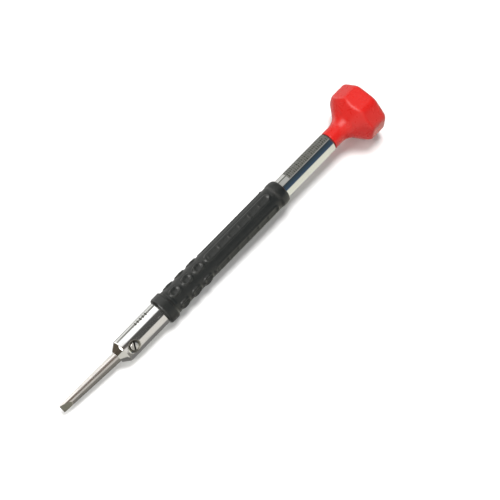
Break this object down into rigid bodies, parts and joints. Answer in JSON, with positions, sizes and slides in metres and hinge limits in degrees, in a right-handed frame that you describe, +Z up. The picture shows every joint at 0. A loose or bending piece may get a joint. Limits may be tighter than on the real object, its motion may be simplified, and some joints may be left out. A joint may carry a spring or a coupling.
{
  "type": "precision screwdriver",
  "caption": "Slim slotted screwdriver: flared octagonal swivel head on a ball bearing, chrome barrel, padded rubber grip, exchangeable blade held by a clamp screw.",
  "frame": {"origin": "centre of the bottom of the bounding box of the tool lying at rest, on the bench surface", "axes": "+X from the blade's tip to the head along the bench, +Z up from the bench; the tool's own axis rises 2.75 degrees towards the head"},
  "size_m": [0.113, 0.0148, 0.0152],
  "materials": {
    "chrome_plate": "polished chrome plate on brass",
    "grip_rubber": "matt black moulded rubber",
    "blade_steel": "ground tool steel",
    "screw_steel": "plated steel",
    "red_plastic": "satin orange-red moulding",
    "bearing_steel": "polished bearing steel",
    "shield_steel": "pressed steel",
    "cage_brass": "pressed brass",
    "bush_bronze": "sintered bronze",
    "washer_nylon": "black nylon"
  },
  "bodies": {
    "barrel": {"barrel": "chrome_plate", "grip_sleeve": "grip_rubber", "bearing_inner_ring": "bearing_steel", "retaining_washer": "screw_steel", "retaining_screw": "screw_steel"},
    "swivel_head": {"head_shell": "red_plastic", "finger_dish": "red_plastic", "neck_bush": "bush_bronze", "neck_washer": "washer_nylon", "bearing_outer_ring": "bearing_steel", "bearing_shield_front": "shield_steel", "bearing_shield_rear": "shield_steel"},
    "bearing_cage": {"bearing_cage": "cage_brass"},
    "blade": {"blade": "blade_steel"},
    "clamp_screw": {"clamp_screw": "screw_steel"},
    "bearing_ball_1": {"bearing_ball_1": "bearing_steel"},
    "bearing_ball_2": {"bearing_ball_2": "bearing_steel"},
    "bearing_ball_3": {"bearing_ball_3": "bearing_steel"},
    "bearing_ball_4": {"bearing_ball_4": "bearing_steel"},
    "bearing_ball_5": {"bearing_ball_5": "bearing_steel"},
    "bearing_ball_6": {"bearing_ball_6": "bearing_steel"},
    "bearing_ball_7": {"bearing_ball_7": "bearing_steel"}
  },
  "joints": [
    {"name": "head_spin", "type": "hinge", "parent": "barrel", "child": "swivel_head", "pos_m": [0.0414, 0, 0.00702], "axis": [0.9989, 0, 0.0479], "continuous": true},
    {"name": "cage_orbit", "type": "hinge", "parent": "barrel", "child": "bearing_cage", "pos_m": [0.05064, 0, 0.00746], "axis": [0.9989, 0, 0.0479], "continuous": true},
    {"name": "blade_slide", "type": "slide", "parent": "barrel", "child": "blade", "axis": [-0.9989, 0, -0.0479], "range_m": [0, 0.014]},
    {"name": "clamp_screw_turn", "type": "hinge", "parent": "barrel", "child": "clamp_screw", "pos_m": [-0.03326, 0, 0.00344], "axis": [-0.0367, -0.6428, 0.7652], "range_deg": [0, 720]},
    {"name": "ball_1_spin", "type": "hinge", "parent": "bearing_cage", "child": "bearing_ball_1", "pos_m": [0.05051, 0, 0.01021], "axis": [0.9989, 0, 0.0479], "continuous": true},
    {"name": "ball_2_spin", "type": "hinge", "parent": "bearing_cage", "child": "bearing_ball_2", "pos_m": [0.05056, -0.00215, 0.00918], "axis": [0.9989, 0, 0.0479], "continuous": true},
    {"name": "ball_3_spin", "type": "hinge", "parent": "bearing_cage", "child": "bearing_ball_3", "pos_m": [0.05067, -0.00268, 0.00685], "axis": [0.9989, 0, 0.0479], "continuous": true},
    {"name": "ball_4_spin", "type": "hinge", "parent": "bearing_cage", "child": "bearing_ball_4", "pos_m": [0.05076, -0.00119, 0.00499], "axis": [0.9989, 0, 0.0479], "continuous": true},
    {"name": "ball_5_spin", "type": "hinge", "parent": "bearing_cage", "child": "bearing_ball_5", "pos_m": [0.05076, 0.00119, 0.00499], "axis": [0.9989, 0, 0.0479], "continuous": true},
    {"name": "ball_6_spin", "type": "hinge", "parent": "bearing_cage", "child": "bearing_ball_6", "pos_m": [0.05067, 0.00268, 0.00685], "axis": [0.9989, 0, 0.0479], "continuous": true},
    {"name": "ball_7_spin", "type": "hinge", "parent": "bearing_cage", "child": "bearing_ball_7", "pos_m": [0.05056, 0.00215, 0.00918], "axis": [0.9989, 0, 0.0479], "continuous": true}
  ],
  "couplings": [
    {"joint": "cage_orbit", "follows": "head_spin", "ratio": 0.6444},
    {"joint": "ball_1_spin", "follows": "head_spin", "ratio": 1.5871},
    {"joint": "ball_2_spin", "follows": "head_spin", "ratio": 1.5871},
    {"joint": "ball_3_spin", "follows": "head_spin", "ratio": 1.5871},
    {"joint": "ball_4_spin", "follows": "head_spin", "ratio": 1.5871},
    {"joint": "ball_5_spin", "follows": "head_spin", "ratio": 1.5871},
    {"joint": "ball_6_spin", "follows": "head_spin", "ratio": 1.5871},
    {"joint": "ball_7_spin", "follows": "head_spin", "ratio": 1.5871}
  ]
}
